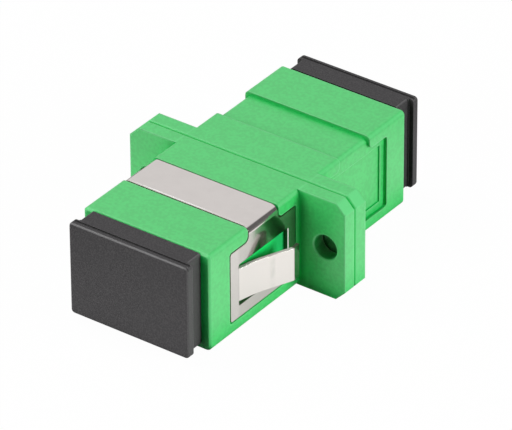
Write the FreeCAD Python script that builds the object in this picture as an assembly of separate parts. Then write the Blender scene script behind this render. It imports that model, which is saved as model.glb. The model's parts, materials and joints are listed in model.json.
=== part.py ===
import FreeCAD, Part
import math
import os

# SC fibre adapter for a panel: two moulded housing halves joined at a seam, a folded
# spring clip on the front half, two latch inserts that carry a split ceramic sleeve,
# and a push-in dust plug in each port.
# Frame: origin at the middle of the body on the seam, +X right, +Y to the rear, +Z up.
# Millimetres. The front half is drawn on the -Y side and turned round +Z for the rear.

# Port for the connector. The optical axis lies above the body's middle, because the
# floor of the port is the thicker wall and takes the keyway.
port_width = 9.0
port_height = 7.4
port_corner = 0.3
port_lead = 0.25
axis_height = 0.25
keyway_width = 2.4
keyway_depth = 0.6
keyway_end = 4.0

# Housing half, its body given by the port and the walls round it
side_wall = 1.9
top_wall = 0.7
body_corner = 0.38
foot_corner = 0.57
half_length = 13.8
mouth_edge = 0.18

# Mounting flange, half its thickness on each housing half
hole_spacing = 18.0
hole_radius = 1.15
hole_rim = 0.1
hole_margin = 2.0
flange_thickness = 1.45
flange_chamfer = 0.9
seam_chamfer = 0.15

# Latch insert: base plate, sleeve holder and two sprung arms
plate_side_step = 0.9
plate_top_step = 0.25
plate_thickness = 1.0
plate_corner = 0.4
plate_gap = 0.05
holder_wall = 0.7
holder_lip = 0.45
holder_catch = 0.18
holder_lead = 0.25
arm_reach = 8.4
arm_height = 4.4
arm_thickness = 0.75
arm_back_gap = 0.25
arm_flex = 0.75
arm_side_gap = 0.35
arm_root = 0.5
hook_depth = 0.6
hook_length = 1.25
hook_flat = 0.35

# Split alignment sleeve
ferrule_radius = 1.2495
sleeve_length = 11.4
sleeve_wall = 0.3505
sleeve_slot = 0.45
sleeve_gap = 0.05
sleeve_end_gap = 0.1
sleeve_lead = 0.12

# Panel clip, folded from one sheet. Its wing, window and tongue are set in from the body.
sheet = 0.3
sheet_bend = 0.38
clip_gap = 0.1
wing_mouth_step = 2.8
wing_flange_gap = 0.55
wing_top_step = 1.29
wing_bottom_step = 1.35
wing_corner = 0.25
band_step = 2.52
band_width = 4.06
band_fillet = 0.5
window_front_rim = 1.15
window_rear_rim = 1.1
window_top_rim = 1.56
window_bottom_rim = 1.13
window_corner = 0.15
tongue_top_gap = 0.4
tongue_bottom_gap = 0.45
tongue_bend = 0.25
tongue_rise = 14.0
knee_place = 1.9
knee_angle = 23.5
knee_bend = 6.0
tongue_length = 5.45
lip_angle = 6.0
lip_length = 0.8
relief_depth = 0.12
relief_border = 0.55

# Dust plug
cap_side_step = 1.5
cap_top_step = 0.69
cap_thickness = 0.75
cap_corner = 0.35
cap_front_edge = 0.2
cap_rim = 0.36
groove_width = 0.28
groove_depth = 0.1
neck_length = 1.75
neck_side_step = 0.5
neck_corner = 0.25
collar_step = 0.1
collar_length = 0.12
insert_gap = 0.05
insert_length = 8.0
insert_wall = 0.8
insert_corner = 0.25
insert_lead = 0.4
insert_face = 1.0
arm_slot_gap = 0.4

# Places and sizes that follow from those above
body_width = port_width + 2 * side_wall
body_height = port_height + 2 * (top_wall + axis_height)
half_width = body_width / 2
half_height = body_height / 2
flange_width = hole_spacing + 2 * hole_margin
plate_width = port_width + 2 * plate_side_step
plate_height = port_height + 2 * plate_top_step
cap_width = port_width + 2 * cap_side_step
cap_height = port_height + 2 * cap_top_step
neck_width = cap_width - 2 * neck_side_step
seat_half_width = half_width - sheet
seat_top = half_height - sheet
sleeve_outer = ferrule_radius + sleeve_wall
holder_bore = sleeve_outer + sleeve_gap
holder_radius = holder_bore + holder_wall
holder_lip_radius = sleeve_outer - holder_catch
holder_stop = sleeve_length / 2 + sleeve_end_gap
holder_end = holder_stop + holder_lip
arm_outer = port_width / 2 - arm_back_gap
arm_inset = arm_outer - arm_thickness
arm_tip = plate_thickness + arm_reach
wing_front = half_length - wing_mouth_step
wing_rear = flange_thickness + wing_flange_gap
wing_top = half_height - wing_top_step
wing_bottom = half_height - wing_bottom_step
band_front = wing_front - band_step
band_back = band_front - band_width
window_front = wing_front - window_front_rim
window_rear = wing_rear + window_rear_rim
window_top = wing_top - window_top_rim
window_bottom = wing_bottom - window_bottom_rim
tongue_top = window_top - tongue_top_gap
tongue_bottom = window_bottom - tongue_bottom_gap


def vector(x, y, z):
    return FreeCAD.Vector(x, y, z)


def box(x0, x1, y0, y1, z0, z1):
    return Part.makeBox(x1 - x0, y1 - y0, z1 - z0, vector(x0, y0, z0))


def along(edge, axis):
    # True for a straight edge that runs along the axis
    if not isinstance(edge.Curve, Part.Line):
        return False
    return abs(abs(edge.tangentAt(edge.FirstParameter).dot(axis)) - 1) < 1e-6


def edges_along(shape, axis):
    return [edge for edge in shape.Edges if along(edge, axis)]


def edges_on_plane(shape, axis, place):
    # Edges that lie wholly in the plane at this place along the axis
    found = []
    for edge in shape.Edges:
        reach = [getattr(vertex.Point, axis) for vertex in edge.Vertexes]
        middle = getattr(edge.CenterOfMass, axis)
        if all(abs(value - place) < 1e-6 for value in reach + [middle]):
            found.append(edge)
    return found


def upper_edges(shape):
    # Long edges along Y above the body's middle
    return [edge for edge in edges_along(shape, vector(0, 1, 0)) if edge.CenterOfMass.z > 0]


def rounded_bar(width, height, corner, y0, y1, middle=axis_height):
    # Bar along Y with a rounded rectangular section, about the optical axis if not told
    bar = box(-width / 2, width / 2, y0, y1, middle - height / 2, middle + height / 2)
    return bar.makeFillet(corner, edges_along(bar, vector(0, 1, 0)))


def mirrored(shape):
    # The same shape on the other side of the optical axis
    return shape.mirror(vector(0, 0, 0), vector(1, 0, 0))


def clip_outline(gap):
    # Side outline of the clip, right through in X: a wide wing under a narrower band
    reach = flange_width
    wing = box(-reach, reach, -wing_front - gap, -wing_rear + gap,
               -wing_bottom - gap, wing_top + gap)
    wing = wing.makeFillet(wing_corner, edges_along(wing, vector(1, 0, 0)))
    band = box(-reach, reach, -band_front - gap, -band_back + gap, 0, body_height)
    outline = wing.fuse(band).removeSplitter()
    inner = []
    for edge in edges_along(outline, vector(1, 0, 0)):
        at_band = min(abs(edge.CenterOfMass.y + band_front + gap),
                      abs(edge.CenterOfMass.y + band_back - gap))
        if at_band < 1e-6 and abs(edge.CenterOfMass.z - wing_top - gap) < 1e-6:
            inner.append(edge)
    return outline.makeFillet(band_fillet, inner)


def clip_seat():
    # The block that the clip folds round: the body less the sheet's thickness
    seat = box(-seat_half_width, seat_half_width, -half_length, 0, -body_height, seat_top)
    return seat.makeFillet(sheet_bend, upper_edges(seat))


def clip_recess():
    # What the housing loses so that the clip lies flush with it
    recess = clip_outline(clip_gap).cut(clip_seat())
    front = -wing_front + relief_border
    back = -wing_rear - relief_border
    relief = box(seat_half_width - relief_depth, half_width, front, back,
                 -wing_bottom + relief_border, wing_top - relief_border)
    return recess.fuse([relief, mirrored(relief)])


def port_cavity():
    # Guide walls, keyway in the floor and room for the latch arms to spring out
    mouth = -half_length
    cavity = rounded_bar(port_width, port_height, port_corner, mouth, -plate_thickness)
    keyway = box(-keyway_width / 2, keyway_width / 2, mouth, -keyway_end,
                 axis_height - port_height / 2 - keyway_depth, axis_height)
    arm_room = arm_height / 2 + arm_side_gap
    rooms = box(-arm_outer - arm_flex, arm_outer + arm_flex,
                -arm_tip - arm_side_gap, -plate_thickness,
                axis_height - arm_room, axis_height + arm_room)
    return cavity.fuse([keyway, rooms])


def flange_hole(x):
    # One half's share of a screw hole, eased at the flange's face and at the seam
    back = vector(0, 1, 0)
    front = vector(x, -flange_thickness, 0)
    hole = Part.makeCylinder(hole_radius, flange_thickness, front, back)
    face_rim = Part.makeCone(hole_radius + hole_rim, hole_radius, hole_rim, front, back)
    seam_rim = Part.makeCone(hole_radius, hole_radius + seam_chamfer, seam_chamfer,
                             vector(x, -seam_chamfer, 0), back)
    return hole.fuse([face_rim, seam_rim])


def body_bar():
    # The body's outer form, with softer edges at the foot than at the top
    bar = box(-half_width, half_width, -half_length, 0, -half_height, half_height)
    bar = bar.makeFillet(body_corner, upper_edges(bar))
    foot = [edge for edge in edges_along(bar, vector(0, 1, 0))
            if abs(edge.CenterOfMass.z + half_height) < 1e-6]
    return bar.makeFillet(foot_corner, foot)


def housing_half():
    body = body_bar()
    body = body.makeChamfer(mouth_edge, edges_on_plane(body, "y", -half_length))
    flange = box(-flange_width / 2, flange_width / 2, -flange_thickness, 0,
                 -half_height, half_height)
    flange = flange.makeChamfer(flange_chamfer, edges_along(flange, vector(0, 1, 0)))
    flange = flange.makeChamfer(seam_chamfer, edges_on_plane(flange, "y", 0))
    half = body.cut(box(-half_width, half_width, -flange_thickness, 0,
                        -half_height, half_height)).fuse(flange).removeSplitter()
    plate_seat = rounded_bar(plate_width + 2 * plate_gap, plate_height + 2 * plate_gap,
                             plate_corner, -plate_thickness, 0)
    half = half.cut([plate_seat, port_cavity(), clip_recess()])
    mouth_rim = [edge for edge in edges_on_plane(half, "y", -half_length)
                 if abs(edge.CenterOfMass.x) < port_width / 2 + port_corner
                 and abs(edge.CenterOfMass.z - axis_height) < port_height / 2 + keyway_depth / 2]
    half = half.makeChamfer(port_lead, mouth_rim)
    for side in (-1, 1):
        half = half.cut(flange_hole(side * hole_spacing / 2))
    return half


def bent_strip(points, thickness, bends, low, high):
    # Sheet folded along a line of points in plan, with one bend radius for each inner point.
    # The points lie on the sheet's middle; the strip runs from low to high in Z.
    left = []
    right = []
    for place, point in enumerate(points):
        before = points[max(place - 1, 0)]
        after = points[min(place + 1, len(points) - 1)]
        into = (point - before) if place > 0 else (after - point)
        out = (after - point) if place < len(points) - 1 else into
        into = into.normalize()
        out = out.normalize()
        normal_in = vector(-into.y, into.x, 0)
        normal_out = vector(-out.y, out.x, 0)
        mitre = (normal_in + normal_out).normalize()
        reach = thickness / 2 / mitre.dot(normal_in)
        left.append(point + mitre * reach)
        right.append(point - mitre * reach)
    outline = left + right[::-1]
    face = Part.Face(Part.makePolygon(outline + outline[:1]))
    strip = face.extrude(vector(0, 0, high - low))
    strip.translate(vector(0, 0, low))
    for point, bend in zip(points[1:-1], bends):
        pair = []
        for edge in edges_along(strip, vector(0, 0, 1)):
            away = vector(edge.CenterOfMass.x - point.x, edge.CenterOfMass.y - point.y, 0)
            if away.Length < thickness:
                pair.append(edge.CenterOfMass)
        for centre in pair:
            radius = bend
            if is_outer_bend(centre, pair, points):
                radius = bend + thickness
            strip = strip.makeFillet(radius, [nearest_edge(strip, centre)])
    return strip


def is_outer_bend(centre, pair, points):
    # The outer corner of a bend is the one farther from the two ends of the strip
    ends = (points[0] + points[-1]) * 0.5
    other = [item for item in pair if (item - centre).Length > 1e-9]
    own = vector(centre.x - ends.x, centre.y - ends.y, 0).Length
    return all(own > vector(item.x - ends.x, item.y - ends.y, 0).Length for item in other)


def nearest_edge(shape, centre):
    upright = edges_along(shape, vector(0, 0, 1))
    return min(upright, key=lambda edge: (edge.CenterOfMass - centre).Length)


def panel_tongue():
    # Sprung tongue on the right wing: out from the window's front edge, steeper past the
    # knee, then back in a little at the free end, which bears on the panel
    middle = half_width - sheet / 2
    root = vector(middle, -window_front - sheet, 0)
    start = vector(middle, -window_front, 0)
    rise = math.radians(tongue_rise)
    knee = start + vector(math.sin(rise), math.cos(rise), 0) * knee_place
    steep = math.radians(knee_angle)
    tip = knee + vector(math.sin(steep), math.cos(steep), 0) * (tongue_length - knee_place)
    fall = math.radians(lip_angle)
    end = tip + vector(-math.sin(fall), math.cos(fall), 0) * lip_length
    bends = [tongue_bend, knee_bend, tongue_bend]
    return bent_strip([root, start, knee, tip, end], sheet, bends,
                      -tongue_bottom, tongue_top)


def panel_clip():
    # The folded channel is the body's outer skin between the seat and the body's surface
    outer = box(-half_width, half_width, -half_length, 0, -body_height, half_height)
    outer = outer.makeFillet(sheet_bend + sheet, upper_edges(outer))
    clip = outer.cut(clip_seat()).common(clip_outline(0.0))
    window = box(-flange_width, flange_width, -window_front, -window_rear,
                 -window_bottom, window_top)
    window = window.makeFillet(window_corner, edges_along(window, vector(1, 0, 0)))
    clip = clip.cut(window)
    tongue = panel_tongue()
    return clip.fuse([tongue, mirrored(tongue)]).removeSplitter()


def latch_arm():
    # Right-hand arm in plan, with a hook at its free end that leads the connector in
    outer = arm_outer
    inner = arm_inset
    tip = -arm_tip
    catch = tip + hook_length
    profile = [
        vector(outer, -plate_thickness, 0),
        vector(outer, tip + arm_thickness / 2, 0),
        vector(outer - arm_thickness / 3, tip, 0),
        vector(inner, tip, 0),
        vector(inner - hook_depth, catch - hook_flat, 0),
        vector(inner - hook_depth, catch, 0),
        vector(inner, catch, 0),
        vector(inner, -plate_thickness - arm_root, 0),
        vector(inner - arm_root, -plate_thickness, 0),
    ]
    face = Part.Face(Part.makePolygon(profile + profile[:1]))
    arm = face.extrude(vector(0, 0, arm_height))
    arm.translate(vector(0, 0, axis_height - arm_height / 2))
    return arm


def latch_insert():
    # One moulding: base plate held between the halves, tube for the sleeve, two arms
    plate = rounded_bar(plate_width, plate_height, plate_corner, -plate_thickness, 0)
    centre = vector(0, 0, axis_height)
    forward = vector(0, -1, 0)
    tube = Part.makeCylinder(holder_radius, holder_end, centre, forward)
    tube = tube.makeChamfer(holder_lead, edges_on_plane(tube, "y", -holder_end))
    arm = latch_arm()
    insert = plate.fuse([tube, arm, mirrored(arm)]).removeSplitter()
    bore = Part.makeCylinder(holder_bore, holder_stop, centre, forward)
    mouth = Part.makeCylinder(holder_lip_radius, holder_lip,
                              centre + forward * holder_stop, forward)
    lead = Part.makeCone(holder_lip_radius, holder_lip_radius + holder_lead, holder_lead,
                         centre + forward * (holder_end - holder_lead), forward)
    return insert.cut([bore, mouth, lead])


def alignment_sleeve():
    # Split tube whose slot lets it spring open on the ferrules
    end = vector(0, -sleeve_length / 2, axis_height)
    tube = Part.makeCylinder(sleeve_outer, sleeve_length, end, vector(0, 1, 0))
    rims = [edge for edge in tube.Edges if isinstance(edge.Curve, Part.Circle)]
    tube = tube.makeChamfer(sleeve_lead, rims)
    bore = Part.makeCylinder(ferrule_radius, sleeve_length, end, vector(0, 1, 0))
    slot = box(-sleeve_slot / 2, sleeve_slot / 2, -sleeve_length / 2, sleeve_length / 2,
               axis_height, axis_height + 2 * sleeve_outer)
    return tube.cut([bore, slot])


def dust_plug():
    # Grip lip and neck outside the port, hollow insert inside it with slots for the arms
    face = -half_length - neck_length - cap_thickness
    lip_back = face + cap_thickness
    lip = rounded_bar(cap_width, cap_height, cap_corner, face, lip_back)
    lip = lip.makeFillet(cap_front_edge, edges_on_plane(lip, "y", face))
    collar = rounded_bar(neck_width + 2 * collar_step, cap_height, neck_corner,
                         lip_back, lip_back + collar_length)
    neck = rounded_bar(neck_width, cap_height, neck_corner, lip_back, -half_length)
    grip = lip.fuse([collar, neck]).removeSplitter()
    groove = box(-cap_width, cap_width, face + cap_rim, face + cap_rim + groove_width,
                 -cap_height, cap_height)
    land = box(-cap_width, cap_width, face, lip_back,
               axis_height - cap_height / 2 + groove_depth,
               axis_height + cap_height / 2 - groove_depth)
    width = port_width - 2 * insert_gap
    height = port_height - 2 * insert_gap
    tip = -half_length + insert_length
    insert = rounded_bar(width, height, insert_corner + port_corner, -half_length, tip)
    insert = insert.makeChamfer(insert_lead, edges_on_plane(insert, "y", tip))
    cavity = rounded_bar(width - 2 * insert_wall, height - 2 * insert_wall, insert_corner,
                         face + insert_face, tip)
    slot_half = arm_height / 2 + arm_slot_gap
    slots = box(-width, width, -arm_tip - hook_length / 2, tip,
                axis_height - slot_half, axis_height + slot_half)
    return grip.fuse(insert).cut([groove.cut(land), cavity, slots])


def turned(shape):
    # The rear one of a pair faces the other way
    rear = shape.copy()
    rear.rotate(vector(0, 0, 0), vector(0, 0, 1), 180)
    return rear


os.makedirs("parts", exist_ok=True)
front_half = housing_half()
front_insert = latch_insert()
front_plug = dust_plug()
pieces = {
    "housing_front": front_half,
    "housing_rear": turned(front_half),
    "panel_clip": panel_clip(),
    "latch_insert_front": front_insert,
    "latch_insert_rear": turned(front_insert),
    "alignment_sleeve": alignment_sleeve(),
    "dust_plug_front": front_plug,
    "dust_plug_rear": turned(front_plug),
}
for name, shape in pieces.items():
    print(name, shape.isValid(), len(shape.Solids), round(shape.Volume, 3))
    shape.exportStep("parts/" + name + ".step")
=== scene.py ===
import json
import math
import bpy
from mathutils import Matrix, Vector


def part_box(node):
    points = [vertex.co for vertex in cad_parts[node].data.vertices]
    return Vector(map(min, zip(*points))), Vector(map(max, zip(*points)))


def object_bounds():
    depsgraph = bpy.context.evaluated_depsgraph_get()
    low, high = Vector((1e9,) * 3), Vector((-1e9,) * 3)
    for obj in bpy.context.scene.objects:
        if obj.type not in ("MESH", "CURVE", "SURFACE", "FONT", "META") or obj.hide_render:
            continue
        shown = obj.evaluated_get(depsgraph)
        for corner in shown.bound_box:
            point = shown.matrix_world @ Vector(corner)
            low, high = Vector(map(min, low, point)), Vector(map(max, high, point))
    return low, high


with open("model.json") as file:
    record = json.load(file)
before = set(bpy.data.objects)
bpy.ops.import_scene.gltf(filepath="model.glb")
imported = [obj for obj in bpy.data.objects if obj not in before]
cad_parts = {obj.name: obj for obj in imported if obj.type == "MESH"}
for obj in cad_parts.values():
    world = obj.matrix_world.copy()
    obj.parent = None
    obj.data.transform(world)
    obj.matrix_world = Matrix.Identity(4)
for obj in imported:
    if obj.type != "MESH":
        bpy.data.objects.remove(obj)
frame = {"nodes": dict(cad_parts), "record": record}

nodes = frame["nodes"]
cadLow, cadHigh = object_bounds()
mm = 0.001
print("frame loaded:", ", ".join(sorted(nodes)))


class Wire:  # a socket that Python's own operators work on
    def __init__(self, finish, socket):
        self.finish = finish
        self.socket = socket

    def maths(self, operation, first, second=0.0):
        return self.finish.maths(operation, first, second)

    def __add__(self, other):
        return self.maths("ADD", self, other)

    def __radd__(self, other):
        return self.maths("ADD", other, self)

    def __sub__(self, other):
        return self.maths("SUBTRACT", self, other)

    def __rsub__(self, other):
        return self.maths("SUBTRACT", other, self)

    def __mul__(self, other):
        return self.maths("MULTIPLY", self, other)

    def __rmul__(self, other):
        return self.maths("MULTIPLY", other, self)

    def __abs__(self):
        return self.maths("ABSOLUTE", self)


finishSizes = {
    "bevelSamples": 6,
    "openSamples": 8,
    "squareFace": (0.80, 0.99, 1.0, 0.0),
}


class Finish:  # one node tree, for a material or the world
    def __init__(self, owner):
        self.owner = owner
        owner.use_nodes = True
        self.nodes = owner.node_tree.nodes
        self.links = owner.node_tree.links
        self.nodes.clear()

    def put(self, target, value):
        if isinstance(value, Wire):
            self.links.new(value.socket, target)
        else:
            target.default_value = value

    def add(self, nodeType, settings=None, values=None, output=None):
        node = self.nodes.new(nodeType)
        for name, value in (settings or {}).items():
            setattr(node, name, value)
        for name, value in (values or {}).items():
            found = [s for s in node.inputs if s.enabled and name in (s.identifier, s.name)]
            self.put(node.inputs[name] if isinstance(name, int) else found[0], value)
        outputs = [s for s in node.outputs if s.enabled]
        wanted = [s for s in outputs if output in (s.identifier, s.name)] or outputs
        return Wire(self, wanted[0]) if wanted else None

    def maths(self, operation, first, second=0.0):
        return self.add("ShaderNodeMath", {"operation": operation}, {0: first, 1: second})

    def larger(self, first, second):
        return self.maths("MAXIMUM", first, second)

    def blend(self, share, first, second):
        return self.add("ShaderNodeMix", {"data_type": "RGBA"},
                        {"Factor": share, "A": first, "B": second})

    def noise(self, place, scale, detail, roughness=0.5):
        return self.add("ShaderNodeTexNoise", {},
                        {"Vector": place, "Scale": scale, "Detail": detail,
                         "Roughness": roughness}, "Fac")

    def between(self, value, low, high, first=0.0, last=1.0):
        # a smooth step from first, up to low, to last, from high on
        return self.add("ShaderNodeMapRange", {"interpolation_type": "SMOOTHSTEP"},
                        {"Value": value, "From Min": low, "From Max": high,
                         "To Min": first, "To Max": last})

    def past(self, value, start, fade):
        # 0 up to start, 1 once the fade is over
        return self.between(value, start, start + fade)

    def within(self, value, low, high, fade):
        # 1 between low and high, fading out just inside both ends
        return (self.past(value, low, fade)
                * self.between(value, high - fade, high, 1.0, 0.0))

    def millimetres(self, stretch=(1.0, 1.0, 1.0)):
        place = self.add("ShaderNodeTexCoord", {}, {}, "Object")
        scale = [part / mm for part in stretch]
        return self.add("ShaderNodeVectorMath", {"operation": "MULTIPLY"},
                        {0: place, 1: scale})

    def facing(self):
        return self.parts(self.add("ShaderNodeTexCoord", {}, {}, "Normal"))

    def flatFacing(self):
        return self.parts(self.add("ShaderNodeNewGeometry", {}, {}, "True Normal"))

    def softened(self, radius):
        # the way the surface faces once its edges are rounded by the radius
        return self.add("ShaderNodeBevel", {"samples": finishSizes["bevelSamples"]},
                        {"Radius": radius})

    def turned(self, soft):
        # 0 on a flat face, rising towards 1 where softening turns the surface
        hard = self.add("ShaderNodeNewGeometry", {}, {}, "Normal")
        return 1 - self.add("ShaderNodeVectorMath", {"operation": "DOT_PRODUCT"},
                            {0: soft, 1: hard}, "Value")

    def rounded(self):
        # 0 where the surface lies square to an axis, 1 on a rounded or bevelled edge
        x, y, z = [abs(part) for part in self.flatFacing()]
        return self.between(self.larger(x, self.larger(y, z)), *finishSizes["squareFace"])

    def openness(self, reach):
        # 1 in the open, falling towards 0 deep inside a gap or a corner
        return self.add("ShaderNodeAmbientOcclusion", {"samples": finishSizes["openSamples"]},
                        {"Distance": reach}, "AO")

    def parts(self, vector):
        return [self.add("ShaderNodeSeparateXYZ", {}, {0: vector}, axis) for axis in "XYZ"]

    def rays(self):
        return [self.add("ShaderNodeLightPath", {}, {}, f"Is {kind} Ray")
                for kind in ("Camera", "Glossy", "Transmission")]

    def relief(self, amount, height, soft=None):
        strength, depth = amount
        values = {"Strength": strength, "Distance": depth, "Height": height}
        if soft:
            values["Normal"] = soft
        return self.add("ShaderNodeBump", {}, values)

    def surface(self, values):
        shader = self.add("ShaderNodeBsdfPrincipled", {}, values)
        self.add("ShaderNodeOutputMaterial", {}, {"Surface": shader})


def newFinish(name):
    return Finish(bpy.data.materials.new(name))


# In the dictionaries a noise is (scale, detail, roughness), a step (low, high, first, last),
# a stretch of a piece (low, high, fade), a start (place, fade) and a relief (strength,
# depth). Places are in millimetres from the sides of the piece's box.

greenSizes = {
    "colour": (0.036, 0.590, 0.126, 1.0),
    "deepColour": (0.028, 0.522, 0.106, 1.0),
    "edgeHighlightColour": (0.110, 0.700, 0.215, 1.0),
    "creviceShadeColour": (0.002, 0.260, 0.045, 1.0),
    "grooveShadeColour": (0.001, 0.640, 0.098, 1.0),
    "sunkenShadeColour": (0.001, 0.070, 0.014, 1.0),
    "seatBounceColour": (0.008, 0.500, 0.125, 1.0),
    "seatFrontBounceColour": (0.003, 0.860, 0.160, 1.0),
    "mottle": (0.9, 3.0),
    "fleck": (3.4, 1.0, 0.4),
    "grain": (7.0, 3.0, 0.6),
    "mottleShare": 0.4,
    "mottled": (0.38, 0.62),
    "upward": (0.90, 0.97),
    "sideways": (0.85, 0.95),
    "flangeRoot": (3.4, 3.8, 1.0, 0.0),  # from the tip of the flange, as the next two are
    "paleFlangeLine": (4.58, 4.82, 0.06),
    "clipSeat": (4.75, 5.20, 0.10),
    "mouth": (0.4, 0.8, 1.0, 0.0),  # from the end of the housing, as the next one is
    "seatFront": (8.2, 10.0, 1.0, 0.0),
    "seatBounceHalf": (-1.0, 0.0, 0.8, 0.0),  # from the seam between the halves
    "seatLift": 0.9,  # how little of the painted crevice shade the seat takes
    "grooveReach": 0.4 * mm,
    "grooved": (0.45, 0.95, 0.9, 0.0),
    "clear": (0.75, 0.97),  # how open an edge lies before it takes the painted highlight
    "edgeRadius": 0.28 * mm,
    "proudEdge": (0.008, 0.060, 0.0, 0.9),
    "creviceReach": 1.3 * mm,
    "cornered": (0.45, 0.96, 0.85, 0.0),
    "sideLift": 0.85,  # and the sides
    "sheenReach": 3.8 * mm,
    "sheen": (0.50, 0.98),
    "sunken": (0.12, 0.52, 1.0, 0.0),  # painted shade, dark inside the ports and the flange's holes
    "roundLight": 0.6,
    "flangeLight": 0.4,
    "lineLight": 0.35,
    "sideLight": 0.12,
    "relief": (0.05, 0.02 * mm),
    "roughness": 0.40,
    "grainRoughness": 0.10,
    "index": 1.25,
    "coatLeast": 0.04,
    "coatSheen": 0.96,
    "coatShade": 0.95,
    "coatIndex": 1.76,
}


def greenMoulding():
    # Painted shade deepens the crevices, grooves, ports and holes; painted highlights pale the
    # edges and sides. Sheen is lost in corners.
    sizes = greenSizes
    finish = newFinish("greenMoulding")
    place = finish.millimetres()
    low, high = [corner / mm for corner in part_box("housing_front")]
    side, ahead = finish.parts(place)[:2]
    fromTip, fromEnd = high.x - abs(side), -low.y - abs(ahead)
    facing = finish.facing()
    upward = finish.between(facing[2], *sizes["upward"])
    sideways = finish.between(abs(facing[0]), *sizes["sideways"])
    soft = finish.softened(sizes["edgeRadius"])
    near = finish.openness(sizes["grooveReach"])
    wide = finish.openness(sizes["sheenReach"])

    mottle = (finish.noise(place, *sizes["mottle"]) * sizes["mottleShare"]
              + finish.noise(place, *sizes["fleck"]) * (1 - sizes["mottleShare"]))
    body = finish.blend(finish.between(mottle, *sizes["mottled"]),
                        sizes["deepColour"], sizes["colour"])

    # painted light: in the front half the face that the clip lies on is a brighter, richer
    # green, most towards the front, standing in for light the clip bounces into its window
    seat = finish.within(fromTip, *sizes["clipSeat"]) * sideways
    bounceShare = seat * finish.between(ahead, *sizes["seatBounceHalf"])
    seatBounce = finish.blend(finish.between(fromEnd, *sizes["seatFront"]),
                            sizes["seatBounceColour"], sizes["seatFrontBounceColour"])

    # a faint paler line across the top of the flange, in line with the body's side
    line = finish.within(fromTip, *sizes["paleFlangeLine"]) * upward
    flange = finish.between(fromTip, *sizes["flangeRoot"])
    # painted highlights on open edges, rounded edges (more on the flange) and the paler line,
    # and painted light on the side faces
    proud = (finish.between(near, *sizes["clear"])
             * finish.between(finish.turned(soft), *sizes["proudEdge"]))
    rounded = finish.rounded() * (sizes["roundLight"] + flange * sizes["flangeLight"])
    light = (finish.larger(proud, rounded) + line * sizes["lineLight"]
             + sideways * (1 - seat) * sizes["sideLight"])
    highlighted = finish.blend(light, finish.blend(bounceShare, body, seatBounce), sizes["edgeHighlightColour"])

    # painted shade: deeper tones in grooves and corners, and dark inside the ports and the
    # flange's holes
    exposed = 1 - seat * sizes["seatLift"]
    groove = finish.between(near, *sizes["grooved"])
    corner = (finish.between(finish.openness(sizes["creviceReach"]), *sizes["cornered"])
              * (1 - sideways * sizes["sideLift"]))
    deep = finish.larger(flange, finish.between(fromEnd, *sizes["mouth"]))
    dark = finish.between(wide, *sizes["sunken"]) * deep
    cornered = finish.blend(corner * exposed, highlighted, sizes["creviceShadeColour"])
    shaded = finish.blend(groove * exposed, cornered, sizes["grooveShadeColour"])

    grain = finish.noise(place, *sizes["grain"])
    shade = finish.larger(groove, corner) * exposed
    sheen = finish.between(wide, *sizes["sheen"])
    finish.surface({
        "Base Color": finish.blend(dark, shaded, sizes["sunkenShadeColour"]),
        "Roughness": sizes["roughness"] + grain * sizes["grainRoughness"],
        "Normal": finish.relief(sizes["relief"], grain, soft),
        "IOR": sizes["index"],
        "Coat Weight": ((sheen * sizes["coatSheen"] + sizes["coatLeast"])
                        * (1 - shade * sizes["coatShade"])),
        "Coat Roughness": sizes["roughness"],
        "Coat IOR": sizes["coatIndex"],
    })
    return finish.owner


plugSizes = {
    "colour": (0.042, 0.040, 0.042, 1.0),
    "speckColour": (0.061, 0.058, 0.060, 1.0),
    "edgeHighlightColour": (0.160, 0.158, 0.160, 1.0),
    "sideLitColour": (0.090, 0.092, 0.090, 1.0),
    "creviceShadeColour": (0.010, 0.010, 0.010, 1.0),
    "grain": (8.0, 2.0),
    "speck": (7.5, 1.0, 0.4),
    "specked": (0.38, 0.66),
    "creviceReach": 1.5 * mm,
    "shaded": (0.30, 0.95, 0.9, 0.0),
    "upperEdge": (0.0, 0.6, 0.2, 0.7),
    "edgeRadius": 0.09 * mm,
    "sharpEdge": (0.01, 0.20, 0.0, 0.4),
    "frontHalf": (-1.0, 0.0, 1.0, 0.0),  # from the seam between the housing halves
    "rightFace": (0.85, 0.98, 0.0, 0.5),
    "topFace": (0.85, 0.98, 0.0, 0.19),
    "relief": (0.4, 0.03 * mm),
    "roughness": 0.46,
    "grainRoughness": 0.16,
    "rubbedRoughness": 0.2,
    "index": 1.25,
    "coat": 0.2,
    "coatRubbed": 0.6,
    "coatRoughness": 0.32,
    "coatIndex": 1.45,
}


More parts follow.
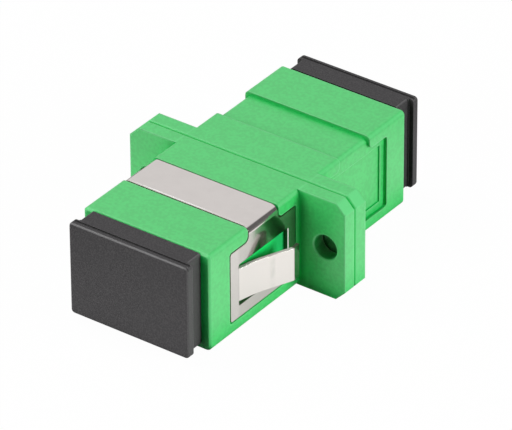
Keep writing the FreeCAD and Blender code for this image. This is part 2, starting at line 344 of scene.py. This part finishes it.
def blackMoulding():
    # Eroded texture all over. Upper edges are shinier with a painted highlight; painted light on
    # the front plug's right side, painted shade in crevices.
    sizes = plugSizes
    finish = newFinish("blackMoulding")
    place = finish.millimetres()
    grain = finish.noise(place, *sizes["grain"])
    speck = finish.noise(place, *sizes["speck"])
    soft = finish.softened(sizes["edgeRadius"])
    facing = finish.flatFacing()
    rightward, upward = facing[0], facing[2]

    # painted shade in the crevices
    shade = finish.between(finish.openness(sizes["creviceReach"]), *sizes["shaded"])
    # painted highlight on the upper rounded edges and along sharp edges, which are also shinier
    corner = finish.rounded() * finish.between(upward * (1 - rightward), *sizes["upperEdge"])
    highlitEdge = finish.larger(corner, finish.between(finish.turned(soft), *sizes["sharpEdge"]))
    # painted light: the front plug's right side is lighter
    forward = finish.between(finish.parts(place)[1], *sizes["frontHalf"])
    sideLit = finish.between(rightward, *sizes["rightFace"]) * forward

    body = finish.blend(finish.between(speck, *sizes["specked"]),
                        sizes["colour"], sizes["speckColour"])
    highlighted = finish.blend(highlitEdge, finish.blend(sideLit, body, sizes["sideLitColour"]),
                        sizes["edgeHighlightColour"])
    finish.surface({
        "Base Color": finish.blend(shade, highlighted, sizes["creviceShadeColour"]),
        "Normal": finish.relief(sizes["relief"], grain, soft),
        "Roughness": (sizes["roughness"] + grain * sizes["grainRoughness"]
                      - highlitEdge * sizes["rubbedRoughness"]),
        "IOR": sizes["index"],
        "Coat Weight": (sizes["coat"] - shade * sizes["coat"] + highlitEdge * sizes["coatRubbed"]
                        - finish.between(upward, *sizes["topFace"])),
        "Coat Roughness": sizes["coatRoughness"],
        "Coat IOR": sizes["coatIndex"],
    })
    return finish.owner


steelSizes = {
    "colour": (0.810, 0.762, 0.738, 1.0),
    "dullColour": (0.770, 0.722, 0.700, 1.0),
    "wingShadeColour": (0.700, 0.655, 0.630, 1.0),
    "tongueLitColour": (0.870, 0.830, 0.790, 1.0),
    "creaseColour": (0.690, 0.680, 0.630, 1.0),
    "lipReflectionColour": (0.560, 0.470, 0.480, 1.0),
    "brinkShadeColour": (0.130, 0.180, 0.080, 1.0),
    "creviceShadeColour": (0.330, 0.330, 0.290, 1.0),
    "cutColour": (0.700, 0.665, 0.645, 1.0),
    "innerCutShadeColour": (0.050, 0.080, 0.040, 1.0),
    "glintColour": (0.980, 0.970, 0.950, 1.0),
    "bandDepth": (0.6, 0.1),  # from the top of the clip
    "bandRim": (2.60, 2.76, 0.03),  # from the front, as the next one is
    "wingFront": (0.9, 1.4, 0.3, 1.0),
    "windowRim": (0.96, 1.12, 0.02),  # from the rear, as the next two are
    "lip": (2.70, 2.80),
    "crease": (4.30, 5.00, 0.30),
    "tongueEnd": (1.15, 0.05),  # from the front and from the rear
    "windowFoot": (1.13, 0.1),
    "windowHead": (2.85, 0.1),
    "tongueFoot": (1.30, 0.1),
    "tongueHead": (3.00, 0.1),
    "rimLeft": (-5.5, -3.0, 0.25, 0.85),  # from the middle, as the next one is
    "rimRight": (-1.0, 4.5, 1.0, 0.25),
    "rimPatches": (0.30, 0.55, 0.6, 1.0),
    "creaseShare": 0.6,
    "creasePatches": (0.35, 0.65, 0.2, 1.0),
    "streak": (0.35, 9.0, 0.35),  # stretch of the noise along each axis
    "streaks": (1.0, 3.0, 0.6),
    "cloud": (0.9, 3.0),
    "clouded": (0.35, 0.75, 0.0, 0.5),
    "edgeRadius": 0.02 * mm,
    "brinkRadius": 0.12 * mm,
    "brinkTurned": (0.004, 0.08, 0.0, 0.85),
    "face": (0.80, 0.97),
    "edgeFace": (0.80, 0.90),
    "creviceReach": 2.4 * mm,
    "shaded": (0.40, 0.98, 0.6, 0.0),
    "relief": (0.06, 0.01 * mm),
    "cutMatt": 0.8,
    "roughness": 0.09,
    "streakRoughness": 0.08,
    "mattRoughness": 0.37,
}


def springSteel():
    # Rolled faces mirror their surroundings. Painted shade darkens the wings, a thin border
    # round the clip and the steel near other parts; the tongues are painted lighter, their lips
    # darker as a painted reflection.
    # The sheared edges are rough, pale on the tongues and painted dark with shade elsewhere,
    # with a painted glint along the band's front and at the rear of each window.
    sizes = steelSizes
    finish = newFinish("springSteel")
    place = finish.millimetres()
    streaks = finish.noise(finish.millimetres(sizes["streak"]), *sizes["streaks"])
    cloud = finish.noise(place, *sizes["cloud"])
    soft = finish.softened(sizes["edgeRadius"])
    brink = finish.turned(finish.softened(sizes["brinkRadius"]))
    sideways, lengthways, upward = [abs(part) for part in finish.facing()]
    outerFace = finish.between(sideways, *sizes["face"])

    low, high = [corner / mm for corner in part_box("panel_clip")]
    side, ahead, height = finish.parts(place)
    fromFront, fromRear = -low.y - abs(ahead), abs(ahead) + high.y
    aboveFoot, belowTop = height - low.z, high.z - height
    below = finish.past(belowTop, *sizes["bandDepth"])
    window = (finish.past(aboveFoot, *sizes["windowFoot"])
              * finish.past(belowTop, *sizes["windowHead"]))
    sprung = (finish.past(aboveFoot, *sizes["tongueFoot"])
              * finish.past(belowTop, *sizes["tongueHead"])
              * finish.past(fromRear, *sizes["tongueEnd"])
              * finish.past(fromFront, *sizes["tongueEnd"]))

    # painted shade: the outer faces of the wings darker, less so at their front
    wing = outerFace * below * finish.between(fromFront, *sizes["wingFront"])
    rolled = finish.blend(finish.between(cloud, *sizes["clouded"]),
                          sizes["colour"], sizes["dullColour"])
    wingShaded = finish.blend(wing, rolled, sizes["wingShadeColour"])
    # painted shade: a thin dark border along the clip's edges
    bordered = finish.blend(finish.between(brink, *sizes["brinkTurned"]),
                            wingShaded, sizes["brinkShadeColour"])

    # painted light: the tongue lighter than the rest, and a painted darker reflection on its lip
    beyondLip = finish.between(fromRear, *sizes["lip"])
    # a patchy darker band across the tongue near its crease
    crease = (finish.within(fromRear, *sizes["crease"]) * sizes["creaseShare"]
              * finish.between(cloud, *sizes["creasePatches"]))
    creased = finish.blend(crease, sizes["tongueLitColour"], sizes["creaseColour"])
    tongue = finish.blend(beyondLip, sizes["lipReflectionColour"], creased)
    # painted shade where the steel lies close to other parts
    shade = finish.between(finish.openness(sizes["creviceReach"]), *sizes["shaded"])
    shaded = finish.blend(shade, finish.blend(sprung, bordered, tongue), sizes["creviceShadeColour"])

    # the sheared edges: pale on the tongues, painted dark with shade elsewhere
    cut = finish.larger(finish.between(upward, *sizes["edgeFace"]) * below,
                        finish.between(lengthways, *sizes["edgeFace"]) * (1 - sprung))
    tongueEdge = finish.blend(beyondLip, sizes["innerCutShadeColour"], sizes["cutColour"])
    edged = finish.blend(cut, shaded,
                         finish.blend(sprung, sizes["innerCutShadeColour"], tongueEdge))
    # painted glints: a thin bright line at the rear of each window and in patches along the
    # band's front
    windowRim = outerFace * window * finish.within(fromRear, *sizes["windowRim"])
    bandRim = (finish.between(upward, *sizes["face"]) * (1 - below)
               * finish.within(fromFront, *sizes["bandRim"])
               * finish.between(side, *sizes["rimLeft"])
               * finish.between(side, *sizes["rimRight"])
               * finish.between(cloud, *sizes["rimPatches"]))
    glint = finish.larger(windowRim, bandRim)

    matt = finish.larger(cut * sizes["cutMatt"], glint)
    finish.surface({
        "Base Color": finish.blend(glint, edged, sizes["glintColour"]),
        "Metallic": 1 - matt,
        "Roughness": (sizes["roughness"] + streaks * sizes["streakRoughness"]
                      + matt * sizes["mattRoughness"]),
        "Normal": finish.relief(sizes["relief"], streaks, soft),
    })
    return finish.owner


insertSizes = {
    "colour": (0.700, 0.660, 0.560, 1.0),
    "paleColour": (0.760, 0.730, 0.640, 1.0),
    "grain": (6.0, 3.0),
    "grained": (0.3, 0.7),
    "edgeRadius": 0.06 * mm,
    "relief": (0.08, 0.02 * mm),
    "roughness": 0.42,
    "edgeRoughness": 0.1,
}


def paleMoulding():
    sizes = insertSizes
    finish = newFinish("paleMoulding")
    grain = finish.noise(finish.millimetres(), *sizes["grain"])
    soft = finish.softened(sizes["edgeRadius"])
    finish.surface({
        "Base Color": finish.blend(finish.between(grain, *sizes["grained"]),
                                   sizes["colour"], sizes["paleColour"]),
        "Roughness": sizes["roughness"] + finish.turned(soft) * sizes["edgeRoughness"],
        "Normal": finish.relief(sizes["relief"], grain, soft),
    })
    return finish.owner


ceramicSizes = {
    "colour": (0.860, 0.860, 0.835, 1.0),
    "groundColour": (0.800, 0.800, 0.780, 1.0),
    "ring": (0.3, 14.0, 0.3),  # stretch of the noise along each axis
    "rings": (1.0, 2.0),
    "relief": (0.05, 0.005 * mm),
    "roughness": 0.14,
    "ringRoughness": 0.08,
    "index": 2.1,
}


def groundCeramic():
    sizes = ceramicSizes
    finish = newFinish("groundCeramic")
    rings = finish.noise(finish.millimetres(sizes["ring"]), *sizes["rings"])
    finish.surface({
        "Base Color": finish.blend(rings, sizes["colour"], sizes["groundColour"]),
        "Roughness": sizes["roughness"] + rings * sizes["ringRoughness"],
        "Normal": finish.relief(sizes["relief"], rings),
        "IOR": sizes["index"],
    })
    return finish.owner


finishes = {
    "housing": greenMoulding(),
    "plug": blackMoulding(),
    "clip": springSteel(),
    "insert": paleMoulding(),
    "sleeve": groundCeramic(),
}
for row in frame["record"]["subparts"]:
    for place in nodes[row["node"]].material_slots:
        place.material = finishes[row["material_slot"]]
print("finishes made:", ", ".join(finishes))


def towards(bearing, height):
    # a unit vector, with a bearing of 0 straight ahead of the front plug and 90 to the right
    turn = math.radians(bearing)
    rise = math.radians(height)
    return Vector((math.sin(turn) * math.cos(rise), -math.cos(turn) * math.cos(rise),
                   math.sin(rise)))


studioSizes = {
    "white": (1.0, 1.0, 1.0, 1.0),
    "floorWidth": 3.0,
    "floorColour": (0.92, 0.92, 0.92, 1.0),
    "cameraWhite": 0.98,
    "glossyWhite": 0.80,
    "footReach": 8.0 * mm,
    "footShadow": (0.45, 1.0, 0.72, 1.0),
    "tableEdge": (24.0, 34.0, 0.0, 0.90),
    "roomColour": (0.10, 0.09, 0.09, 1.0),
    "softBox": 0.76,
    "darkWall": 0.12,
    "wallTop": (0.54, 0.66, 1.0, 0.0),
    "wallSide": (0.10, 0.35),
    "lampDistance": 0.75,
    "lamps": [
        # name, bearing and height in degrees, metres across, watts
        ("topLamp", -90.0, 55.0, 0.60, 4.05),
        ("rightLamp", 101.0, 18.0, 0.35, 4.8),
        ("frontLamp", -20.0, 15.0, 0.50, 3.15),
    ],
}


def makeFloor():
    sizes = studioSizes
    half = sizes["floorWidth"] / 2
    mesh = bpy.data.meshes.new("floor")
    corners = [(x * half, y * half, cadLow.z) for x, y in ((-1, -1), (1, -1), (1, 1), (-1, 1))]
    mesh.from_pydata(corners, [], [(0, 1, 2, 3)])
    floor = bpy.data.objects.new("floor", mesh)
    bpy.context.scene.collection.objects.link(floor)

    finish = newFinish("paleFloor")
    matt = finish.add("ShaderNodeBsdfDiffuse", {}, {"Color": sizes["floorColour"]})
    white = finish.add("ShaderNodeEmission", {}, {"Color": sizes["white"], "Strength": 1.0})
    seen, glossy, through = finish.rays()
    # painted shadow: for gloss the floor's white fades near the foot of the object
    near = finish.between(finish.openness(sizes["footReach"]), *sizes["footShadow"])
    share = (seen * sizes["cameraWhite"]
             + (glossy + through) * near * sizes["glossyWhite"])
    table = finish.add("ShaderNodeMixShader", {}, {0: share, 1: matt, 2: white})
    # beyond the edge of the table gloss finds a dark room
    room = finish.add("ShaderNodeEmission", {}, {"Color": sizes["roomColour"], "Strength": 1.0})
    away = finish.add("ShaderNodeVectorMath", {"operation": "LENGTH"},
                      {0: finish.millimetres()}, "Value")
    beyond = glossy * finish.between(away, *sizes["tableEdge"])
    shader = finish.add("ShaderNodeMixShader", {}, {0: beyond, 1: table, 2: room})
    finish.add("ShaderNodeOutputMaterial", {}, {"Surface": shader})
    mesh.materials.append(finish.owner)


def makeWorld():
    # White to the camera. Gloss sees a soft box all round, but for a low dark wall on the right.
    sizes = studioSizes
    world = bpy.data.worlds.new("studio")
    bpy.context.scene.world = world
    finish = Finish(world)
    seen, glossy, through = finish.rays()
    heading = finish.parts(finish.add("ShaderNodeTexCoord", {}, {}, "Generated"))
    wall = (finish.between(heading[2], *sizes["wallTop"])
            * finish.between(heading[0], *sizes["wallSide"]))
    box = sizes["softBox"] - wall * (sizes["softBox"] - sizes["darkWall"])
    strength = seen + (glossy + through) * box
    light = finish.add("ShaderNodeBackground", {},
                       {"Color": sizes["white"], "Strength": strength})
    finish.add("ShaderNodeOutputWorld", {}, {"Surface": light})


def makeLamps():
    sizes = studioSizes
    for name, bearing, height, across, power in sizes["lamps"]:
        toLamp = towards(bearing, height)
        lamp = bpy.data.lights.new(name, "AREA")
        lamp.shape = "DISK"
        lamp.size = across
        lamp.energy = power
        holder = bpy.data.objects.new(name, lamp)
        holder.location = toLamp * sizes["lampDistance"]
        holder.rotation_euler = (-toLamp).to_track_quat("-Z", "Y").to_euler()
        bpy.context.scene.collection.objects.link(holder)


makeFloor()
makeWorld()
makeLamps()
print("studio made")


cameraSizes = {
    "azimuth": 36.224,
    "elevation": 32.726,
    "roll": -0.328,
    "distance": 465.1 * mm,
    "aimRight": 0.760 * mm,
    "aimUp": -0.793 * mm,
    "nearest": 10.0 * mm,
    "sensor": 36.0,
    "lens": 393.98,
}


def makeCamera():
    sizes = cameraSizes
    turn = math.radians(sizes["azimuth"])
    back = towards(sizes["azimuth"], sizes["elevation"])
    level = Vector((math.cos(turn), math.sin(turn), 0.0))
    tilt = Matrix.Rotation(math.radians(sizes["roll"]), 3, back)
    right = tilt @ level
    up = tilt @ back.cross(level)
    lens = bpy.data.cameras.new("camera")
    lens.sensor_width = sizes["sensor"]
    lens.lens = sizes["lens"]
    lens.clip_start = sizes["nearest"]
    camera = bpy.data.objects.new("camera", lens)
    pose = Matrix((right, up, back)).transposed().to_4x4()
    pose.translation = back * sizes["distance"] + right * sizes["aimRight"] + up * sizes["aimUp"]
    camera.matrix_world = pose
    bpy.context.scene.collection.objects.link(camera)
    bpy.context.scene.camera = camera


makeCamera()
bpy.context.scene.view_settings.view_transform = "Standard"
print("camera made")
